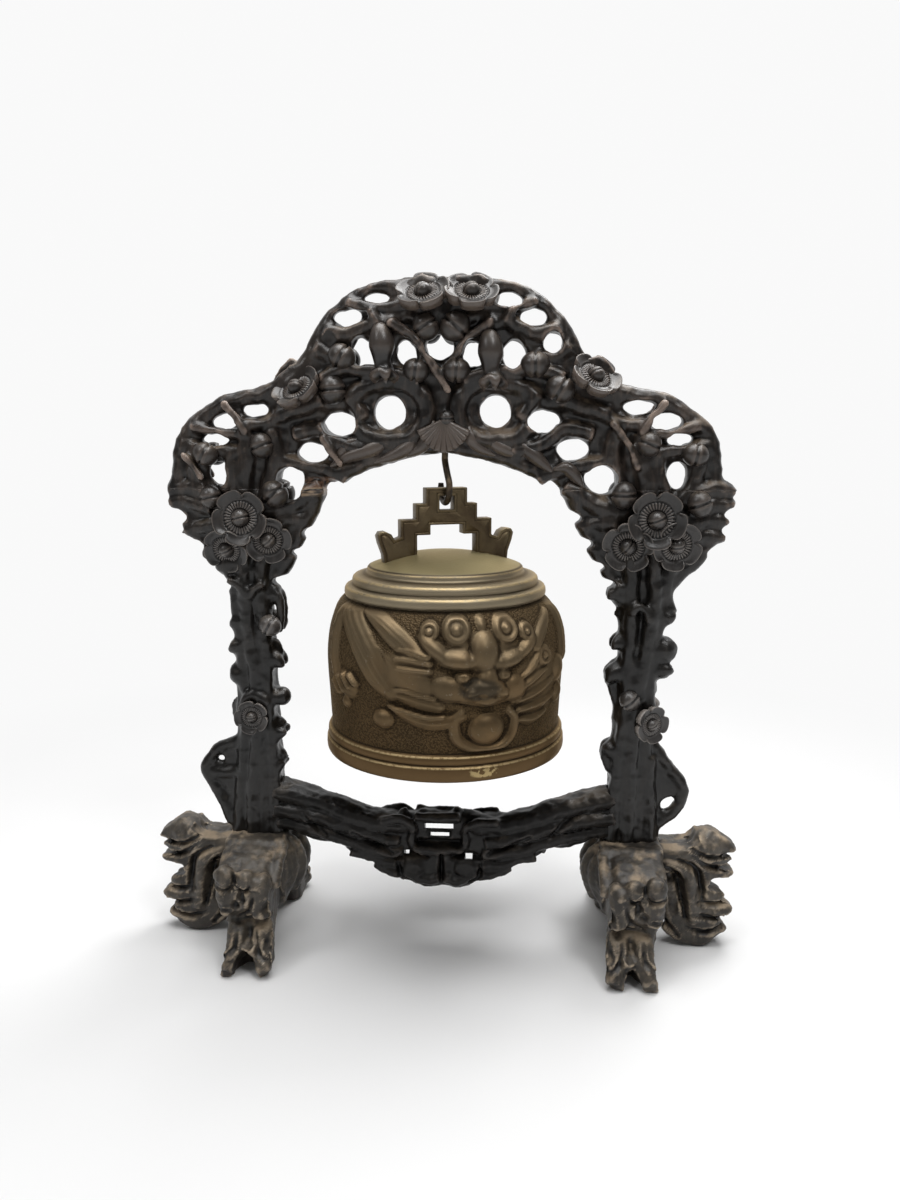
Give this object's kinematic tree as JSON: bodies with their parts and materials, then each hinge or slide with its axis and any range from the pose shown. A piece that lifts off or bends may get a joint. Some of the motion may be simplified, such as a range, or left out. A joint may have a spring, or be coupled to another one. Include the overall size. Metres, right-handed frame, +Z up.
{
  "type": "temple bell on stand",
  "caption": "Bronze temple bell with a lion-mask relief, hung by a wire hook in a carved openwork hardwood stand with plum blossoms and root feet.",
  "frame": {"origin": "on the floor, midway between the two feet and midway between their front and back toes", "axes": "+X to the right as seen from the front, +Y to the back, +Z up"},
  "size_m": [0.3786, 0.1536, 0.423],
  "materials": {
    "carved_wood": "dark stained and waxed, worn on the edges",
    "root_wood": "dark stained, dusty and worn",
    "dowel_wood": "plain",
    "wire_iron": "dark brown patina",
    "bell_bronze": "brown and olive patina, brassy on the edges"
  },
  "bodies": {
    "stand": {"crest": "carved_wood", "left_post": "carved_wood", "right_post": "carved_wood", "stretcher": "carved_wood", "left_foot": "root_wood", "right_foot": "root_wood", "left_outer_root": "root_wood", "right_outer_root": "root_wood", "crest_dowel_left_outer": "dowel_wood", "crest_dowel_left_inner": "dowel_wood", "crest_dowel_right_inner": "dowel_wood", "crest_dowel_right_outer": "dowel_wood"},
    "hook": {"hook": "wire_iron"},
    "bell": {"bell": "bell_bronze", "bell_handle": "bell_bronze"}
  },
  "joints": [
    {"name": "hook_swivel", "type": "hinge", "parent": "stand", "child": "hook", "pos_m": [0.0015, 0, 0.319], "axis": [0, 0, 1], "range_deg": [-90, 90]},
    {"name": "bell_swing", "type": "hinge", "parent": "hook", "child": "bell", "pos_m": [0.0015, 0, 0.28905], "axis": [-0.3584, 0.9336, 0], "range_deg": [-7, 7]}
  ]
}
